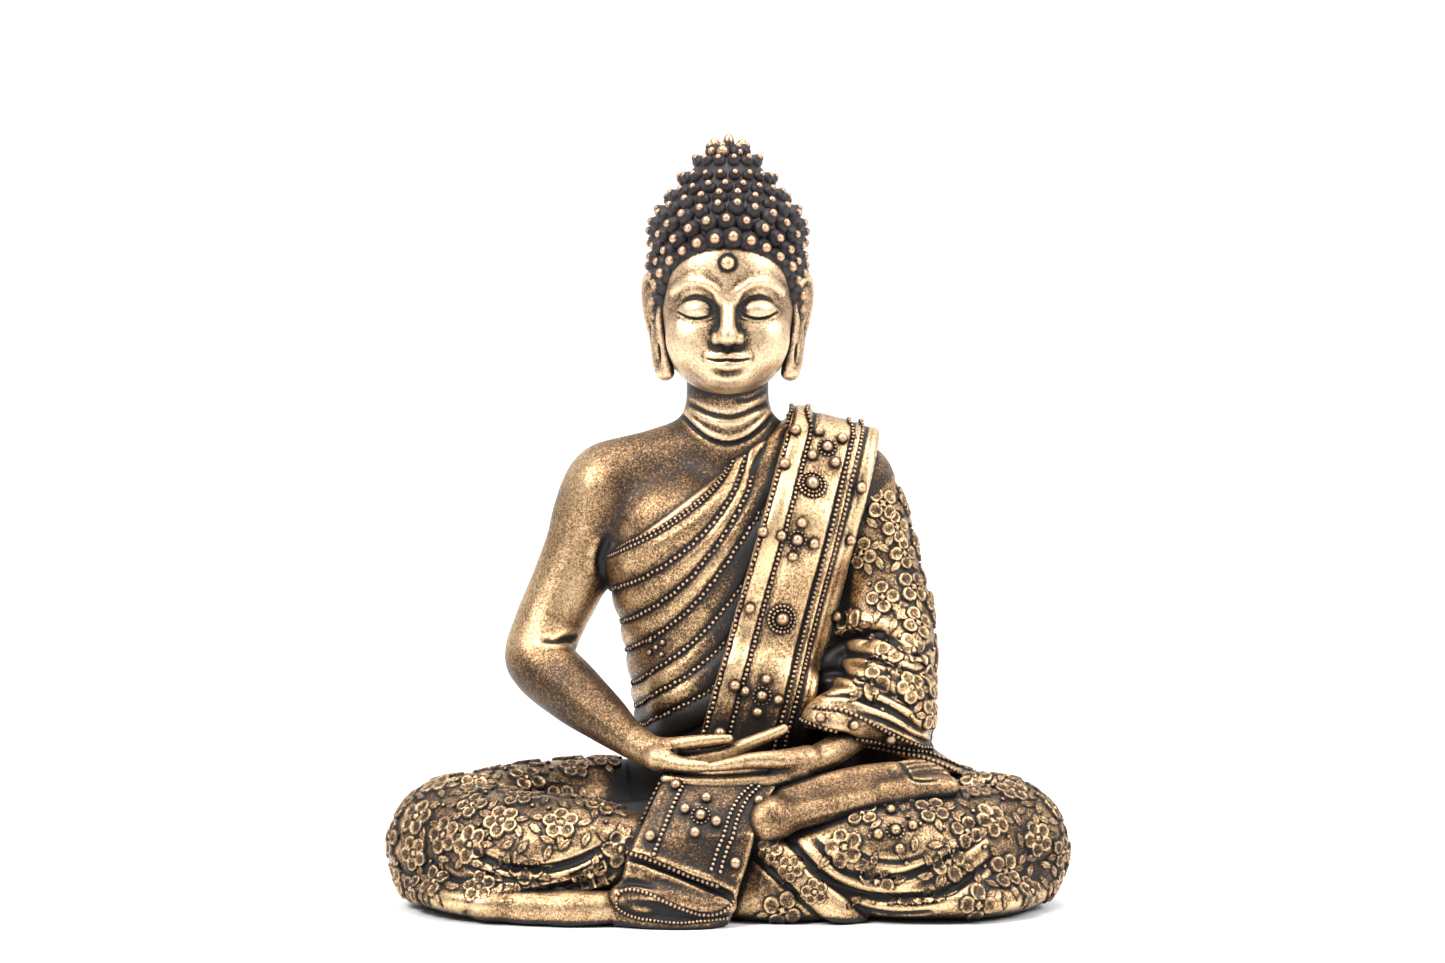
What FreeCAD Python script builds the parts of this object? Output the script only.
"""Seated meditating figure, cast in sections that are pinned and bonded together.

Millimetres. +Z is up, -Y is the figure's front, and the origin is at the middle of the footprint on the
table. "right" and "left" are the figure's own: its right arm is at -X. The castings meet face to face, each
one cut back by the castings that it is seated in, and the beads, studs, flowers and hair curls are separate
small solids that touch the surface that carries them.
"""
import FreeCAD
import Part
import math
import os

Vector = FreeCAD.Vector
UP = Vector(0, 0, 1)

doc = FreeCAD.newDocument("seated_figure")
sheet = doc.addObject("Spreadsheet::Sheet", "Sizes")
nodes = {}


# ---------------------------------------------------------------- driving dimensions

SIZES = {
    "overall_height": 300,
    "half_width": 131,
    "half_depth": 74,
    "robe_thickness": 2.2,
    "stole_thickness": 2.6,
    "stole_front_width": 38.8,
    "stole_lean": 15,
    "stole_middle": 25,
    "stole_middle_height": 120,
    "stole_low_edge": 56,
    "stole_high_edge": 183,
    "robe_low_edge": 45,
    "robe_high_edge": 182,
    "neckline_angle": 36.8,
    "neckline_height": 167.3,
    "seat_half_width": 78,
    "seat_half_height": 38,
    "seat_centre_height": 16,
    "seat_floor_width": 96,
    "seat_floor_depth": 46,
    "seat_back": 26,
    "base_back": 30,
    "leg_knee_radius": 25.5,
    "leg_thigh_length": 57,
    "leg_thigh_radius": 25.5,
    "leg_shin_length": 63,
    "leg_shin_depth": 25,
    "leg_shin_height": 23.5,
    "leg_knee_forward": 8,
    "leg_thigh_side": 70,
    "leg_thigh_back": 12,
    "leg_thigh_lift": 2,
    "leg_thigh_turn": 26,
    "leg_shin_side": 60,
    "leg_shin_forward": 36,
    "leg_shin_turn": 14,
    "head_half_width": 26.5,
    "head_half_depth": 30,
    "head_half_height": 35,
    "head_height": 234.5,
    "head_forward": 17,
    "hair_thickness": 3,
    "hairline_height": 255,
    "hairline_slope": 52,
    "curl_radius": 2.7,
    "curl_tip_radius": 0.9,
    "curl_height": 3.1,
    "curl_pitch": 6.1,
    "ear_half_height": 21,
    "ear_half_depth": 6,
    "ear_half_width": 2.6,
    "jewel_radius": 2.4,
    "bead_radius": 0.85,
    "bead_pitch": 2.2,
    "stud_radius": 2.1,
    "flower_radius": 5.2,
    "flower_thickness": 0.9,
    "apron_width": 42,
    "apron_lean": 17,
    "apron_height": 50,
    "apron_depth": 34,
    "apron_middle": -16,
    "base_recess": 6,
    "base_plate_thickness": 4,
    "felt_thickness": 2,
    "base_clearance": 0.2,
    "ballast_top": 24,
    "wall": 5,
    "plug_radius": 9,
    "pin_radius": 2,
    "pin_length": 24,
}

# Horizontal ellipses from the lap up: name, height, half width, half depth, distance behind the origin.
TORSO = (
    ("hips", 40, 42, 29, 28),
    ("waist", 62, 33.5, 24, 24),
    ("belly", 83, 35, 25, 23),
    ("ribs", 108, 40, 27, 23),
    ("chest", 133, 46, 28, 24),
    ("armpit", 150, 50, 26, 25),
    ("shoulder", 165, 52, 22, 26),
    ("slope", 175, 44, 17, 26),
    ("trapezius", 181, 30, 14, 25),
    ("collar", 185, 18.5, 13, 24.5),
)
NECK = (
    ("root", 174, 15.8, 14, 25),
    ("middle", 190, 15.5, 14, 22.5),
    ("jaw", 207, 16, 15, 20),
)
CROWN = (
    ("root", 258, 28.5, 31, 21),
    ("swell", 271, 26, 28.5, 22),
    ("waist", 279, 22.5, 24, 23),
    ("middle", 285, 17, 18, 24),
    ("top", 290.5, 11.5, 12, 24),
    ("tip", 295.5, 6, 6, 24),
)

# Round limbs as circles along a path: x, y, z, radius.
RIGHT_ARM = (
    (-30, 26, 159, 12),
    (-42, 26, 159, 14),
    (-53, 26, 153, 16),
    (-58, 26, 140, 14.8),
    (-64.5, 25, 121, 13.8),
    (-71, 22, 105, 13.3),
    (-73.5, 14, 93, 13.4),
    (-61, 1, 81.5, 12.4),
    (-48.5, -13, 73, 9.8),
    (-38, -27, 66, 7.2),
)
LEFT_SLEEVE = (
    (31, 27, 160, 13),
    (43, 27, 160, 15.5),
    (55, 27, 153, 18),
    (62.5, 26, 132, 16.8),
    (65, 23, 114, 17),
    (66, 14, 97, 17.5),
    (62, 0, 85, 17),
    (54, -13, 75, 15),
)
LEFT_WRIST = (
    (52, -12, 72, 9),
    (45, -24, 67, 8),
    (37, -33, 61, 7.5),
)
RIGHT_FINGERS = (
    ((-31, -36, 65, 3.6), (-14, -41, 68, 3.0), (4, -42, 68.5, 2.0)),
    ((-31, -40, 60, 4.2), (-20, -46, 58.5, 3.8), (-7, -49, 58.5, 2.2)),
    ((-18, -35, 63, 3.4), (2, -38, 66, 3.0), (22, -37, 71, 2.0)),
)
LEFT_FINGERS = (
    ((36, -35, 62, 6.0), (20, -43, 60, 4.0), (-4, -47, 60.5, 2.2)),
    ((34, -37, 57, 5.6), (12, -45, 54, 4.4), (-19, -46, 54, 2.4)),
    ((34, -32, 57, 5.6), (12, -38, 55, 4.4), (-16, -38, 55, 2.6)),
)
RIGHT_FOOT = (
    (11, -56, 31, 7.0),
    (22, -53, 36, 10.5),
    (42, -46, 42, 12.5),
    (62, -38, 47, 12.5),
    (78, -31, 50, 11.0),
    (87, -28, 51, 6.5),
)
LEFT_FOOT = (
    (-98, -50, 6.5, 5.0),
    (-84, -56, 6.5, 6.5),
    (-66, -59, 7.0, 7.0),
    (-44, -60, 7.0, 7.0),
)
HAND_PALM_RADII = (13, 8, 6)


def fill_sheet():
    """Puts every driving dimension in the sheet under an alias."""
    rows = dict(SIZES)
    for part, sections in (("torso", TORSO), ("neck", NECK), ("crown", CROWN)):
        for name, height, half_width, half_depth, back in sections:
            rows[f"{part}_{name}_height"] = height
            rows[f"{part}_{name}_half_width"] = half_width
            rows[f"{part}_{name}_half_depth"] = half_depth
            rows[f"{part}_{name}_back"] = back
    for row, (alias, value) in enumerate(rows.items(), start=1):
        sheet.set(f"A{row}", alias)
        sheet.set(f"B{row}", str(value))
        sheet.setAlias(f"B{row}", alias)
    doc.recompute()


def size(alias):
    """The value of a cell."""
    return float(sheet.get(alias))


def bind(thing, **expressions):
    """Binds properties of an object to expressions of the sheet's cells."""
    for name, expression in expressions.items():
        thing.setExpression(name.replace("__", "."), expression)


def node(thing, label):
    """Names a finished sub-part."""
    thing.Label = label
    nodes[label] = thing
    return thing


def place(thing, x=0.0, y=0.0, z=0.0, axis=UP, angle=0.0):
    thing.Placement = FreeCAD.Placement(Vector(x, y, z), FreeCAD.Rotation(axis, angle))
    return thing


# ---------------------------------------------------------------- solids used many times

def oval_loft(name, part, sections, grow="0"):
    """A solid through horizontal ellipses, each swollen by the expression grow."""
    ovals = []
    for section, *_ in sections:
        oval = doc.addObject("Part::Ellipse", f"{name}_{section}")
        cell = f"Sizes.{part}_{section}"
        wide = size(f"{part}_{section}_half_width") >= size(f"{part}_{section}_half_depth")
        long_side, short_side = ("half_width", "half_depth") if wide else ("half_depth", "half_width")
        place(oval, angle=0 if wide else 90)
        bind(
            oval,
            MajorRadius=f"{cell}_{long_side} + {grow}",
            MinorRadius=f"{cell}_{short_side} + {grow}",
            Placement__Base__y=f"{cell}_back",
            Placement__Base__z=f"{cell}_height",
        )
        ovals.append(oval)
    solid = doc.addObject("Part::Loft", name)
    solid.Sections = ovals
    solid.Solid = True
    return solid


def round_loft(name, stations):
    """A limb through circles that stand square to its path."""
    points = [Vector(*station[:3]) for station in stations]
    rings = []
    for i, station in enumerate(stations):
        ahead = points[min(i + 1, len(points) - 1)]
        behind = points[max(i - 1, 0)]
        ring = doc.addObject("Part::Circle", f"{name}_{i}")
        ring.Radius = station[3]
        ring.Placement = FreeCAD.Placement(points[i], FreeCAD.Rotation(UP, ahead - behind))
        rings.append(ring)
    solid = doc.addObject("Part::Loft", name)
    solid.Sections = rings
    solid.Solid = True
    return solid


def ellipsoid(name, radii, centre, turn=0.0):
    """A whole ellipsoid with its radii bound to expressions, turned about a vertical axis."""
    solid = doc.addObject("Part::Ellipsoid", name)
    solid.Angle1, solid.Angle2, solid.Angle3 = -90, 90, 360
    # Part::Ellipsoid's Radius2 and Radius3 lie along X and Y, and Radius1 along Z.
    bind(solid, Radius2=radii[0], Radius3=radii[1], Radius1=radii[2])
    return place(solid, *centre, angle=turn)


def block(name, low, high):
    """A box between two corners."""
    solid = doc.addObject("Part::Box", name)
    solid.Length, solid.Width, solid.Height = (b - a for a, b in zip(low, high))
    return place(solid, *low)


def fuse(name, pieces):
    solid = doc.addObject("Part::MultiFuse", name)
    solid.Shapes = pieces
    return solid


def cut(name, base, *tools):
    """The base with each tool taken away in turn."""
    for i, tool in enumerate(tools):
        taken = doc.addObject("Part::Cut", f"{name}_{i}" if i + 1 < len(tools) else name)
        taken.Base, taken.Tool = base, tool
        base = taken
    return base


def common(name, base, tool):
    kept = doc.addObject("Part::Common", name)
    kept.Base, kept.Tool = base, tool
    return kept


def revolved(name, half_profile):
    """A PartDesign body turned about Z from (radius, height) points that start and end on the axis."""
    body = doc.addObject("PartDesign::Body", name)
    plane = next(o for o in body.Origin.OriginFeatures if o.Role == "XZ_Plane")
    sketch = body.newObject("Sketcher::SketchObject", f"{name}_profile")
    sketch.AttachmentSupport = (plane, [""])
    sketch.MapMode = "FlatFace"
    ring = [Vector(r, height, 0) for r, height in half_profile]
    for start, end in zip(ring, ring[1:] + ring[:1]):
        sketch.addGeometry(Part.LineSegment(start, end))
    turned = body.newObject("PartDesign::Revolution", f"{name}_turned")
    turned.Profile = sketch
    turned.ReferenceAxis = (sketch, ["V_Axis"])
    turned.Angle = 360
    body.Tip = turned
    return body


def pin(name, at, direction):
    """A steel pin with both ends chamfered, centred on a bonded face."""
    radius, half, lead = size("pin_radius"), size("pin_length") / 2, 0.6
    body = revolved(
        name,
        [
            (0, -half),
            (radius - lead, -half),
            (radius, lead - half),
            (radius, half - lead),
            (radius - lead, half),
            (0, half),
        ],
    )
    body.Placement = FreeCAD.Placement(Vector(*at), FreeCAD.Rotation(UP, Vector(*direction)))
    return body


def small_group(label, solids):
    """Many separate small solids under one name."""
    group = doc.addObject("Part::Feature", label)
    group.Shape = Part.makeCompound(solids)
    return node(group, label)


# ---------------------------------------------------------------- where small pieces touch a surface

REACH = 200.0
FRONT_TOLERANCE = 0.04
FRONT_CELL = 4.0


class Front:
    """The side of a shape that faces -Y, as small triangles that are looked up by their place (x, z)."""

    def __init__(self, shape):
        points, triangles = shape.tessellate(FRONT_TOLERANCE)
        self.cells = {}
        for corners in triangles:
            a, b, c = (points[i] for i in corners)
            normal = (b - a).cross(c - a)
            if normal.y >= 0:
                continue
            for i in self.steps(a.x, b.x, c.x):
                for k in self.steps(a.z, b.z, c.z):
                    self.cells.setdefault((i, k), []).append((a, b, c, normal))

    @staticmethod
    def steps(*values):
        return range(math.floor(min(values) / FRONT_CELL), math.floor(max(values) / FRONT_CELL) + 1)

    def at(self, x, z):
        """The foremost point there with the outward normal, or None beside the shape."""
        found = None
        for a, b, c, normal in self.cells.get((math.floor(x / FRONT_CELL), math.floor(z / FRONT_CELL)), ()):
            corners = ((a, b), (b, c), (c, a))
            turns = [(q.x - p.x) * (z - p.z) - (q.z - p.z) * (x - p.x) for p, q in corners]
            if min(turns) < 0 < max(turns):
                continue
            y = a.y - (normal.x * (x - a.x) + normal.z * (z - a.z)) / normal.y
            if found is None or y < found[0].y:
                found = Vector(x, y, z), Vector(normal).normalize()
        return found


def resting_ball(front, x, z, radius):
    """A ball that touches the front of a shape at one point."""
    found = front.at(x, z)
    if found is None:
        return None
    point, normal = found
    return Part.makeSphere(radius, point + normal * radius)


def row_of_balls(front, line, radius, pitch):
    """Balls at even steps along a line of (x, z) points in the front view."""
    balls = []
    left_over = 0.0
    for (x0, z0), (x1, z1) in zip(line, line[1:]):
        length = math.hypot(x1 - x0, z1 - z0)
        along = left_over
        while along < length:
            t = along / length
            ball = resting_ball(front, x0 + (x1 - x0) * t, z0 + (z1 - z0) * t, radius)
            if ball is not None:
                balls.append(ball)
            along += pitch
        left_over = along - length
    return balls


def flower(point, normal):
    """Five flat petals round a small ball, lying on a surface."""
    radius, thick = size("flower_radius"), size("flower_thickness")
    petals = 5
    petal_radius = radius * 0.42
    disc = Part.makeCylinder(radius * 0.3, thick)
    for i in range(petals):
        angle = 2 * math.pi * i / petals
        at = Vector(math.cos(angle), math.sin(angle), 0) * (radius - petal_radius)
        disc = disc.fuse(Part.makeCylinder(petal_radius, thick, at))
    disc.Placement = FreeCAD.Placement(point, FreeCAD.Rotation(UP, normal))
    return disc.removeSplitter()


# ---------------------------------------------------------------- lap: seat, legs and feet

def make_legs():
    """Each folded leg: a thigh, a knee and a shin, cut level at the floor and at the middle of the lap."""
    legs = {}
    wholes = []
    # Each ellipsoid's seam is turned to the middle of the lap, where the solids are cut off.
    for side, sign, seam in (("right", -1, 0), ("left", 1, 180)):
        knee_x = sign * (size("half_width") - size("leg_knee_radius"))
        knee = doc.addObject("Part::Sphere", f"{side}_knee")
        bind(knee, Radius="Sizes.leg_knee_radius")
        place(knee, knee_x, -size("leg_knee_forward"), size("leg_knee_radius") + 0.5)
        thigh = ellipsoid(
            f"{side}_thigh",
            ("Sizes.leg_thigh_length", "Sizes.leg_thigh_radius", "Sizes.leg_thigh_radius"),
            (
                sign * size("leg_thigh_side"),
                size("leg_thigh_back"),
                size("leg_thigh_radius") + size("leg_thigh_lift"),
            ),
            turn=seam - sign * size("leg_thigh_turn"),
        )
        shin = ellipsoid(
            f"{side}_shin",
            ("Sizes.leg_shin_length", "Sizes.leg_shin_depth", "Sizes.leg_shin_height"),
            (sign * size("leg_shin_side"), -size("leg_shin_forward"), size("leg_shin_height")),
            turn=seam + sign * size("leg_shin_turn"),
        )
        whole = fuse(f"{side}_leg_whole", [knee, thigh, shin])
        inner, outer = sorted((0.0, sign * REACH))
        room = block(f"{side}_leg_room", (inner, -REACH, 0), (outer, REACH, REACH))
        wholes.append(whole)
        legs[side] = node(common(f"{side}_leg_cut", whole, room), f"{side}_leg")
    return legs, fuse("both_legs", wholes)


def make_feet(legs):
    """The right foot lies sole up on the left leg, and the left foot shows under the right shin."""
    floor = block("feet_room", (-REACH, -REACH, 0), (REACH, REACH, REACH))
    left_foot = common("left_foot_room", round_loft("left_foot_loft", LEFT_FOOT), floor)
    right_foot = cut("right_foot_seated", round_loft("right_foot_loft", RIGHT_FOOT), legs["left"])
    node(right_foot, "right_foot")
    node(cut("left_foot_seated", left_foot, legs["right"]), "left_foot")


def floor_block(name, inset, low, high):
    """A box over the opening in the seat's floor, smaller by an inset on every side."""
    wide = size("seat_floor_width") / 2 - inset
    deep = size("seat_floor_depth") / 2 - inset
    back = size("base_back")
    return block(name, (-wide, back - deep, low), (wide, back + deep, high))


def make_seat(both_legs):
    """The hips behind the legs: an oval casting with a level top, hollow under its floor."""
    whole = ellipsoid(
        "seat_oval",
        ("Sizes.seat_half_width", "Sizes.half_depth - Sizes.seat_back", "Sizes.seat_half_height"),
        (0, size("seat_back"), size("seat_centre_height")),
    )
    room = block("seat_room", (-REACH, -REACH, 0), (REACH, REACH, size("torso_hips_height")))
    halved = common("seat_level", whole, room)
    wall = size("wall")
    opening = floor_block("seat_opening", 0, 0, size("base_recess"))
    hollow = floor_block("seat_hollow", wall, size("base_recess"), size("torso_hips_height") - wall)
    node(cut("seat_cut", halved, both_legs, opening, hollow), "seat_casting")


def make_base():
    """What closes the seat from below: plaster ballast, a plate with a filler plug, and felt."""
    clearance = size("base_clearance")
    plate_top = size("base_recess")
    plate_low = plate_top - size("base_plate_thickness")
    plate = floor_block("plate_block", clearance, plate_low, plate_top)
    hole = doc.addObject("Part::Cylinder", "plate_hole")
    bind(hole, Radius="Sizes.plug_radius")
    hole.Height = REACH
    place(hole, 0, size("base_back"), plate_low)
    plug = doc.addObject("Part::Cylinder", "plug_shank")
    bind(plug, Radius="Sizes.plug_radius - Sizes.base_clearance / 2", Height="Sizes.base_plate_thickness")
    place(plug, 0, size("base_back"), plate_low)
    node(cut("plate_cut", plate, hole), "base_plate")
    node(plug, "filler_plug")
    node(floor_block("felt_block", clearance, 0, size("felt_thickness")), "felt_pad")
    node(floor_block("ballast_block", size("wall"), plate_top, size("ballast_top")), "ballast")


def make_apron(legs, hands):
    """The end of the robe that falls over the shins to the table, as a leaning panel with a turned-up hem."""
    body = doc.addObject("PartDesign::Body", "apron_body")
    plane = next(o for o in body.Origin.OriginFeatures if o.Role == "XZ_Plane")
    sketch = body.newObject("Sketcher::SketchObject", "apron_outline")
    sketch.AttachmentSupport = (plane, [""])
    sketch.MapMode = "FlatFace"
    half, lean, height = size("apron_width") / 2, size("apron_lean"), size("apron_height")
    middle = size("apron_middle")
    corners = [
        Vector(middle - half - lean / 2, 4, 0),
        Vector(middle - half * 0.2 - lean / 2, 0, 0),
        Vector(middle + half - lean / 2, 1, 0),
        Vector(middle + half + lean / 2, height, 0),
        Vector(middle - half + lean / 2, height, 0),
    ]
    for start, end in zip(corners, corners[1:] + corners[:1]):
        sketch.addGeometry(Part.LineSegment(start, end))
    pad = body.newObject("PartDesign::Pad", "apron_pad")
    pad.Profile = sketch
    bind(pad, Length="Sizes.apron_depth")
    body.Tip = pad
    doc.recompute()
    # The sketch's normal points to -Y, so the pad runs from its own plane to the front of the figure.
    front = size("half_depth") - 2 * size("stud_radius")
    body.Placement.Base = Vector(0, size("apron_depth") - front, 0)
    return node(cut("apron_cut", body, legs["right"], legs["left"], *hands), "apron")


# ---------------------------------------------------------------- torso, robe and stole

def make_torso():
    return node(oval_loft("torso_loft", "torso", TORSO), "torso_casting")


def between(name, solid, low, high):
    """The part of a solid between two levels."""
    return common(name, solid, block(f"{name}_levels", (-REACH, -REACH, low), (REACH, REACH, high)))


def leaning_slab(name, x, z, width, lean):
    """A tall box whose middle passes through (x, z) in the front view and leans about the Y axis."""
    slab = block(name, (-width / 2, -REACH, -REACH), (width / 2, REACH, REACH))
    turn = FreeCAD.Rotation(Vector(0, 1, 0), lean)
    slab.Placement = FreeCAD.Placement(
        Vector(x, 0, z) + turn.multVec(Vector(-width / 2, -REACH, -REACH)), turn
    )
    return slab


def make_robe(torso):
    """A sheet over the torso below a slanting neckline, which leaves the right shoulder bare."""
    outer = oval_loft("robe_loft", "torso", TORSO, "Sizes.robe_thickness")
    below = block("robe_room", (-REACH, -REACH, -2 * REACH), (REACH, REACH, 0))
    below.Placement = FreeCAD.Placement(
        Vector(0, 0, size("neckline_height")), FreeCAD.Rotation(Vector(0, 1, 0), -size("neckline_angle"))
    ).multiply(below.Placement)
    levels = between("robe_levels", outer, size("robe_low_edge"), size("robe_high_edge"))
    sheet_over = common("robe_below", levels, below)
    return outer, node(cut("robe_cut", sheet_over, torso), "chest_robe")


def make_stole(robe_outer):
    """The long folded band over the left shoulder, down the chest and down the back."""
    outer = oval_loft("stole_loft", "torso", TORSO, "Sizes.robe_thickness + Sizes.stole_thickness")
    slab = leaning_slab(
        "stole_slab",
        size("stole_middle"),
        size("stole_middle_height"),
        size("stole_front_width"),
        size("stole_lean"),
    )
    levels = between("stole_levels", outer, size("stole_low_edge"), size("stole_high_edge"))
    band = common("stole_band", levels, slab)
    return node(cut("stole_cut", band, robe_outer), "shoulder_stole")


def chest_pleats():
    """The lines of beads on the pleats, from the stole down to the right side, as (x, z) points."""
    rows = []
    starts = ((18, 179), (14.5, 172), (12, 162), (8.5, 150), (3.5, 132), (0.5, 117), (-4, 101))
    ends = ((-45, 132), (-40.5, 122), (-37, 112), (-34, 103), (-31, 91.5), (-30, 82), (-28, 74))
    for (x0, z0), (x1, z1) in zip(starts, ends):
        line = []
        steps = 8
        for i in range(steps + 1):
            t = i / steps
            sag = -3.0 * math.sin(math.pi * t)
            line.append((x0 + (x1 - x0) * t, z0 + (z1 - z0) * t + sag))
        rows.append(line)
    return rows


def stole_point(across, height):
    """A place on the stole's front, from its middle line and its height."""
    lean = math.tan(math.radians(size("stole_lean")))
    return size("stole_middle") + across + (height - size("stole_middle_height")) * lean, height


def make_trim(robe, stole):
    """Bead rows, and the larger studs in crosses between them."""
    bead, pitch, stud = size("bead_radius"), size("bead_pitch"), size("stud_radius")
    robe_front, stole_front = Front(robe.Shape), Front(stole.Shape)
    beads = []
    for line in chest_pleats():
        beads += row_of_balls(robe_front, line, bead, pitch)
    small_group("chest_beads", beads)
    half = size("stole_front_width") / 2
    beads = []
    for across in (1.5 - half, half * -0.55, half * 0.5, half * 0.5 + 2.6):
        line = [stole_point(across, height) for height in (176, 150, 125, 100, 68)]
        beads += row_of_balls(stole_front, line, bead, pitch)
    small_group("stole_beads", beads)
    studs = []
    for middle in (169, 131, 80):
        for across, above in ((0, 0), (5.4, -2.2), (-5.4, 2.2), (1.7, 5.6), (-1.7, -5.6)):
            x, z = stole_point(across, middle + above)
            studs.append(resting_ball(stole_front, x, z, stud))
    for middle in (151, 107):
        studs.append(resting_ball(stole_front, *stole_point(0, middle), stud))
    for height in (164, 142, 120, 96, 74):
        for across in (-half * 0.77, half * 0.83):
            studs.append(resting_ball(stole_front, *stole_point(across, height), stud * 0.8))
    small_group("stole_studs", [s for s in studs if s is not None])


# ---------------------------------------------------------------- arms and hands

def make_arms(torso, robe_outer, stole):
    seats = (torso, robe_outer, stole)
    arm = cut("right_arm_cut", round_loft("right_arm_loft", RIGHT_ARM), torso, robe_outer)
    node(arm, "right_arm")
    sleeve = cut("left_sleeve_cut", round_loft("left_sleeve_loft", LEFT_SLEEVE), *seats)
    node(sleeve, "left_sleeve")
    return arm, sleeve


def make_hand(side, pieces, tools):
    whole = fuse(f"{side}_hand_whole", pieces)
    return node(cut(f"{side}_hand_cut", whole, *tools), f"{side}_hand")


def make_hands(arm, sleeve, legs):
    """The hands lie in the lap, palms up, with the fingers laid over each other."""
    right_palm = ellipsoid("right_palm", [str(r) for r in HAND_PALM_RADII], (-29, -36, 61), turn=-38)
    left_palm = ellipsoid("left_palm", [str(r) for r in HAND_PALM_RADII], (34, -36, 59), turn=30)
    right_fingers = [round_loft(f"right_finger_{i}", f) for i, f in enumerate(RIGHT_FINGERS)]
    left_fingers = [round_loft(f"left_finger_{i}", f) for i, f in enumerate(LEFT_FINGERS)]
    wrist = round_loft("left_wrist", LEFT_WRIST)
    foot = nodes["right_foot"]
    left = make_hand("left", [left_palm, wrist] + left_fingers, (sleeve, foot, legs["left"], legs["right"]))
    right = make_hand("right", [right_palm] + right_fingers, (arm, left, legs["right"]))
    return [left, right]


# ---------------------------------------------------------------- head and hair

def make_head():
    centre = (0, size("head_forward"), size("head_height"))
    skull = ellipsoid(
        "skull", ("Sizes.head_half_width", "Sizes.head_half_depth", "Sizes.head_half_height"), centre
    )
    neck = oval_loft("neck_loft", "neck", NECK)
    node(cut("neck_cut", neck, skull), "neck")
    node(skull, "head")
    grow = " + Sizes.hair_thickness"
    cap_centre = (0, centre[1] + 1.5, centre[2] + 1)
    cap = ellipsoid(
        "hair_oval",
        (
            "Sizes.head_half_width" + grow,
            "Sizes.head_half_depth" + grow,
            "Sizes.head_half_height" + grow,
        ),
        cap_centre,
    )
    slope = size("hairline_slope")
    behind = block("hair_room", (-REACH, 0, -REACH), (REACH, REACH, REACH))
    behind.Placement = FreeCAD.Placement(
        Vector(0, -12, size("hairline_height")), FreeCAD.Rotation(Vector(1, 0, 0), slope)
    ).multiply(behind.Placement)
    hair = common("hair_behind", cap, behind)
    crown = oval_loft("crown_loft", "crown", CROWN)
    node(cut("crown_cut", crown, skull, cap), "crown_bun")
    node(cut("hair_cut", hair, skull, neck), "hair_cap")
    return cap_centre


def on_hairy_side(point, sink=1.0):
    """True behind the slanting plane that the hairline lies in."""
    slope = math.radians(size("hairline_slope"))
    along = Vector(0, math.cos(slope), math.sin(slope))
    return (point - Vector(0, -12, size("hairline_height"))).dot(along) > sink


def curl(point, normal):
    cone = Part.makeCone(size("curl_radius"), size("curl_tip_radius"), size("curl_height"))
    cone.Placement = FreeCAD.Placement(point, FreeCAD.Rotation(UP, normal))
    return cone


def make_curls(cap_centre):
    """Rows of curls round the head, closer together towards the crown, and rings of them on the bun."""
    grow = size("hair_thickness")
    a, b, c = (size(f"head_half_{side}") + grow for side in ("width", "depth", "height"))
    centre = Vector(*cap_centre)
    nape = centre.z - c * 0.62
    pitch = size("curl_pitch")
    first_row, row_step, cap_rows = 57, 9.2, 11
    curls = []
    for row in range(cap_rows):
        polar = math.radians(first_row + row * row_step)
        ring = 2 * math.pi * (a + b) / 2 * math.sin(polar)
        count = int(ring / pitch)
        for i in range(count):
            around = 2 * math.pi * (i + 0.5 * (row % 2)) / count
            unit = Vector(
                math.sin(polar) * math.sin(around), -math.sin(polar) * math.cos(around), math.cos(polar)
            )
            point = centre + Vector(a * unit.x, b * unit.y, c * unit.z)
            normal = Vector(unit.x / a, unit.y / b, unit.z / c).normalize()
            if on_hairy_side(point, 2.0) and point.z > nape:
                curls.append(curl(point, normal))
    small_group("hair_curls", curls)


def make_crown_curls():
    curls = []
    for (_, z0, w0, d0, y0), (_, z1, w1, d1, y1) in zip(CROWN, CROWN[1:]):
        for step in (0.3, 0.75):
            z, w, d = z0 + (z1 - z0) * step, w0 + (w1 - w0) * step, d0 + (d1 - d0) * step
            y = y0 + (y1 - y0) * step
            slope = math.atan2(w0 - w1, z1 - z0)
            count = max(5, int(2 * math.pi * (w + d) / 2 / size("curl_pitch")))
            for i in range(count):
                around = 2 * math.pi * (i + step) / count
                out = Vector(math.sin(around), -math.cos(around), 0)
                normal = out * math.cos(slope) + UP * math.sin(slope)
                clear = 0.6
                curls.append(curl(Vector(w * out.x, y + d * out.y, z) + normal * clear, normal))
    tip_height = size("overall_height") - size("curl_height") - CROWN[-1][1]
    top = Part.makeCylinder(2.2, tip_height, Vector(0, CROWN[-1][4], CROWN[-1][1]))
    curls.append(top)
    curls.append(curl(Vector(0, CROWN[-1][4], CROWN[-1][1] + tip_height), UP))
    small_group("crown_curls", curls)


def make_face_trim():
    """Long ears, and the round mark on the forehead."""
    for side, sign in (("right", -1), ("left", 1)):
        ear = ellipsoid(
            f"{side}_ear_oval",
            ("Sizes.ear_half_width", "Sizes.ear_half_depth", "Sizes.ear_half_height"),
            (sign * (size("head_half_width") + 3.4), 20, size("head_height") - 10),
            turn=90 - sign * 90,
        )
        node(cut(f"{side}_ear_cut", ear, nodes["head"], nodes["hair_cap"]), f"{side}_ear")
    jewel = doc.addObject("Part::Sphere", "jewel_ball")
    bind(jewel, Radius="Sizes.jewel_radius")
    place(jewel, 0, size("head_forward") - size("head_half_depth") * 0.94, size("head_height") + 13)
    node(cut("jewel_cut", jewel, nodes["head"]), "forehead_jewel")


# ---------------------------------------------------------------- flowers, lap trim and pins

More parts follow.
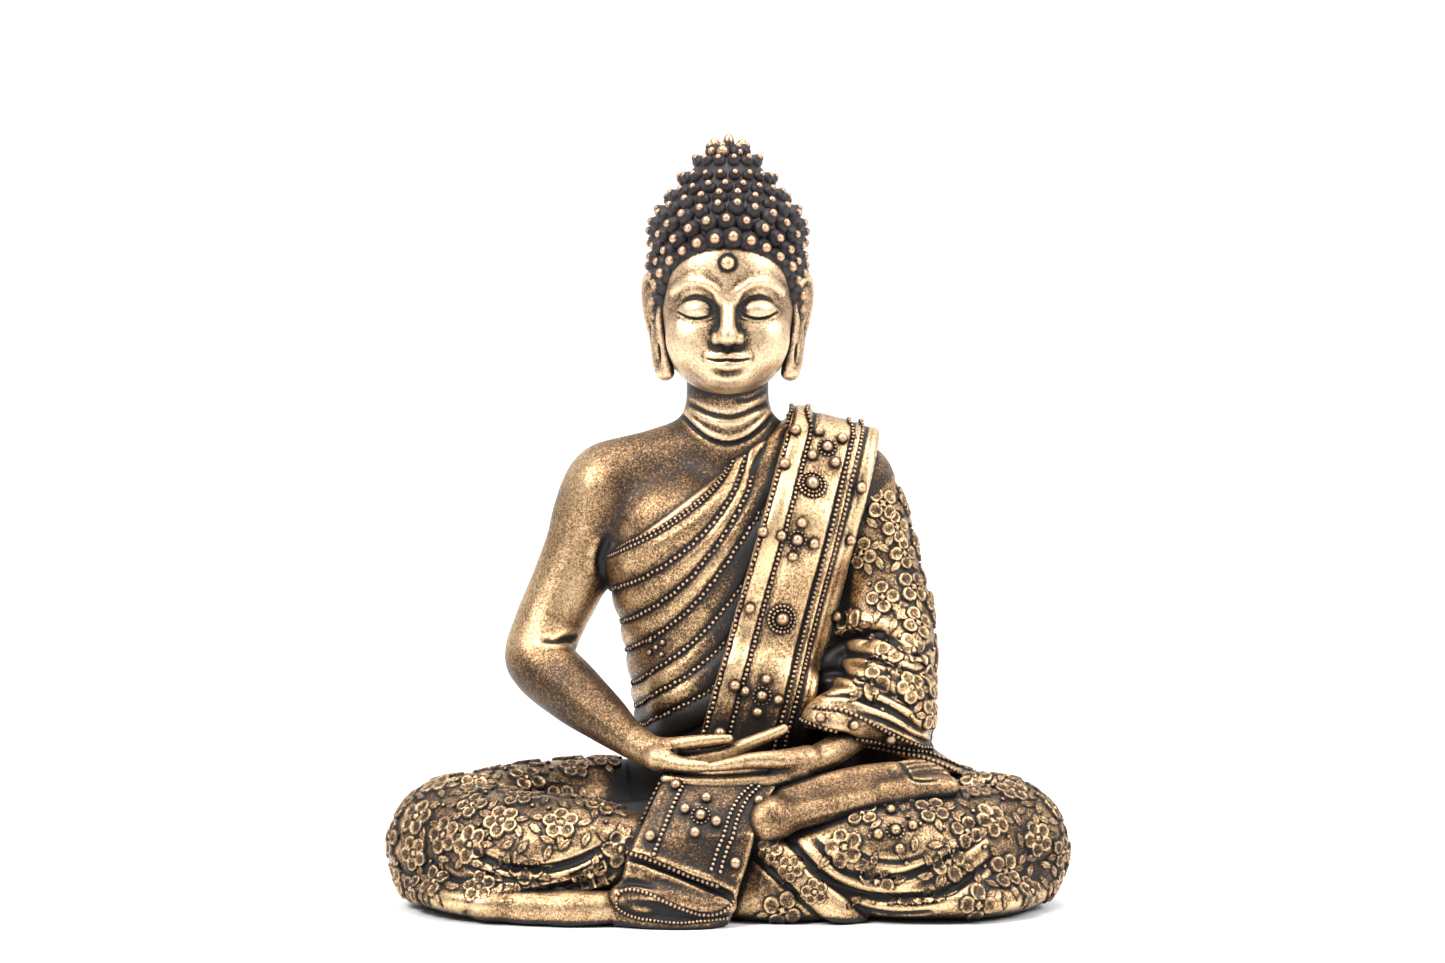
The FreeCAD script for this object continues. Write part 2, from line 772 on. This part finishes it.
def flowers_on(label, shape, places):
    """Flowers at (x, z) places of the front view that lie on the shape."""
    front = Front(shape)
    found = [front.at(x, z) for x, z in places]
    small_group(label, [flower(point, normal) for point, normal in filter(None, found)])


def make_flowers(legs, sleeve):
    right = [(x, z) for z in (12, 24, 36) for x in range(-118, -50, 13)]
    left = [(x, z) for z in (11, 22, 33) for x in range(30, 120, 13)]
    flowers_on("right_leg_flowers", legs["right"].Shape, right)
    flowers_on("left_leg_flowers", legs["left"].Shape, left)
    on_sleeve = [(x, z) for z, x in ((153, 61), (137, 70), (128, 57), (117, 73), (107, 62), (95, 72), (87, 60))]
    flowers_on("sleeve_flowers", sleeve.Shape, on_sleeve)


def make_lap_trim(apron, sleeve):
    bead, pitch, stud = size("bead_radius"), size("bead_pitch"), size("stud_radius")
    lean = size("apron_lean") / size("apron_height")
    middle = size("apron_middle")
    apron_front, sleeve_front = Front(apron.Shape), Front(sleeve.Shape)
    beads = []
    for across in (-17, -10, 8, 11):
        line = [(middle + across + (z - size("apron_height") / 2) * lean, z) for z in (18, 32, 46)]
        beads += row_of_balls(apron_front, line, bead, pitch)
    small_group("apron_beads", beads)
    studs = []
    for across, above in ((0, 0), (5.4, -2.2), (-5.4, 2.2), (1.7, 5.6), (-1.7, -5.6)):
        studs.append(resting_ball(apron_front, -12 + across, 35 + above, stud))
    for across, z in ((-16, 26), (-10, 44), (3, 22), (7, 44)):
        studs.append(resting_ball(apron_front, middle + across, z, stud * 0.8))
    small_group("apron_studs", [s for s in studs if s is not None])
    hem = []
    for drop in (0, 4):
        line = [(42, 76 - drop), (52, 73 - drop), (62, 71 - drop), (70, 72 - drop)]
        hem += row_of_balls(sleeve_front, line, bead, pitch)
    small_group("sleeve_beads", hem)


def make_pins():
    """Steel pins that key the castings to each other."""
    pins = (
        ("neck_pin", (0, 23, 174), (0, 0, 1), ("torso_casting", "neck")),
        ("seat_pin_right", (-18, 26, 40), (0, 0, 1), ("torso_casting", "seat_casting")),
        ("seat_pin_left", (18, 26, 40), (0, 0, 1), ("torso_casting", "seat_casting")),
        ("right_arm_pin", (-47, 26, 157), (-1, 0, 0), ("torso_casting", "right_arm")),
        ("left_arm_pin", (49, 26, 157), (1, 0, 0), ("torso_casting", "left_sleeve")),
        ("head_pin", (0, 21, 203), (0, 0, 1), ("neck", "head")),
    )
    for name, at, direction, hosts in pins:
        body = node(pin(name, at, direction), name)
        for label in hosts:
            drilled = cut(f"{label}_for_{name}", nodes[label], body)
            nodes[label].Label = f"{label}_before_{name}"
            node(drilled, label)


# ---------------------------------------------------------------- build, check and write

def write_parts():
    os.makedirs("parts", exist_ok=True)
    for thing in doc.Objects:
        if "Invalid" in thing.State or "Error" in thing.State:
            raise RuntimeError(f"{thing.Label} failed: {thing.State}")
    for label, thing in nodes.items():
        shape = thing.Shape
        if shape.isNull() or not shape.isValid() or not shape.Solids:
            raise RuntimeError(f"{label} is not a valid solid")
        print(f"{label:20s} {len(shape.Solids):4d} solids {shape.Volume / 1000:9.2f} cm3")
        shape.exportStep(f"parts/{label}.step")


def main():
    fill_sheet()
    legs, both_legs = make_legs()
    torso = make_torso()
    make_feet(legs)
    make_seat(both_legs)
    make_base()
    robe_outer, robe = make_robe(torso)
    stole = make_stole(robe_outer)
    arm, sleeve = make_arms(torso, robe_outer, stole)
    hands = make_hands(arm, sleeve, legs)
    apron = make_apron(legs, hands)
    cap_centre = make_head()
    make_face_trim()
    doc.recompute()
    make_curls(cap_centre)
    make_crown_curls()
    make_trim(robe, stole)
    make_flowers(legs, sleeve)
    make_lap_trim(apron, sleeve)
    make_pins()
    doc.recompute()
    write_parts()


main()
